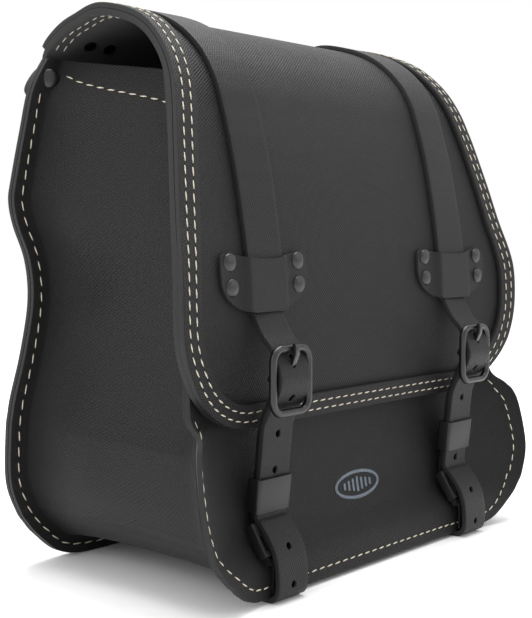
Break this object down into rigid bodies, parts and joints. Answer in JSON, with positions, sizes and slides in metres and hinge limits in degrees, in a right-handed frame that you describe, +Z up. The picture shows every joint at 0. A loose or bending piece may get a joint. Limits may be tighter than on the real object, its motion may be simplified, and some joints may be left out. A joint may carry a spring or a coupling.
{
  "type": "pannier bag",
  "caption": "Boxed leather pannier bag with a deep curved flap, closed by two buckled straps that clip to the foot of the front panel.",
  "frame": {"origin": "middle of the bag's width and depth, on the surface it stands on", "axes": "+Z up, -Y out of the front (the buckled side), +X to the right seen from the front"},
  "size_m": [0.3422, 0.1834, 0.3479],
  "materials": {
    "body_leather": "finely embossed black bridle leather, satin",
    "flap_leather": "thick finely embossed black leather, satin",
    "strap_leather": "smooth black strap leather with pressed edges, satin",
    "black_metal": "black lacquered steel, semi-gloss",
    "black_plastic": "moulded black acetal, fine matt",
    "board": "dark pressed board"
  },
  "bodies": {
    "bag": {"back_panel": "body_leather", "back_stiffener": "board", "gusset": "body_leather", "front_panel": "body_leather", "hinge_tail": "flap_leather", "hinge_rivets": "black_metal", "side_wing_left": "body_leather", "side_wing_right": "body_leather", "mounting_eyelets": "black_metal", "anchor_strap_left": "strap_leather", "anchor_strap_right": "strap_leather", "anchor_rivets": "black_metal", "clip_male_left": "black_plastic", "clip_male_right": "black_plastic"},
    "flap": {"flap_panel": "flap_leather", "flap_border": "flap_leather", "tab_left": "strap_leather", "tab_right": "strap_leather", "tab_rivets": "black_metal", "strap_upper_left": "strap_leather", "strap_upper_right": "strap_leather", "strap_end_rivets": "black_metal"},
    "strap_left": {"strap_lower_left": "strap_leather", "buckle_frame_left": "black_metal", "chape_left": "strap_leather", "clip_female_left": "black_plastic"},
    "prong_left": {"buckle_prong_left": "black_metal"},
    "keeper_left": {"keeper_left": "strap_leather"},
    "strap_right": {"strap_lower_right": "strap_leather", "buckle_frame_right": "black_metal", "chape_right": "strap_leather", "clip_female_right": "black_plastic"},
    "prong_right": {"buckle_prong_right": "black_metal"},
    "keeper_right": {"keeper_right": "strap_leather"}
  },
  "joints": [
    {"name": "flap_hinge", "type": "hinge", "parent": "bag", "child": "flap", "pos_m": [0, 0.0887, 0.318], "axis": [-1, 0, 0], "range_deg": [0, 120]},
    {"name": "strap_swing_left", "type": "hinge", "parent": "flap", "child": "strap_left", "pos_m": [-0.0975, -0.0697, 0.1622], "axis": [-1, 0, 0], "range_deg": [0, 80]},
    {"name": "prong_left_pivot", "type": "hinge", "parent": "strap_left", "child": "prong_left", "pos_m": [-0.0975, -0.0834, 0.128], "axis": [1, 0, 0], "range_deg": [0, 20]},
    {"name": "keeper_left_slide", "type": "slide", "parent": "strap_left", "child": "keeper_left", "axis": [0, -0.1107, 0.9939], "range_m": [0, 0.024]},
    {"name": "strap_swing_right", "type": "hinge", "parent": "flap", "child": "strap_right", "pos_m": [0.0975, -0.0697, 0.1622], "axis": [-1, 0, 0], "range_deg": [0, 80]},
    {"name": "prong_right_pivot", "type": "hinge", "parent": "strap_right", "child": "prong_right", "pos_m": [0.0975, -0.0834, 0.128], "axis": [1, 0, 0], "range_deg": [0, 20]},
    {"name": "keeper_right_slide", "type": "slide", "parent": "strap_right", "child": "keeper_right", "axis": [0, -0.1107, 0.9939], "range_m": [-0.009, 0.015]}
  ]
}
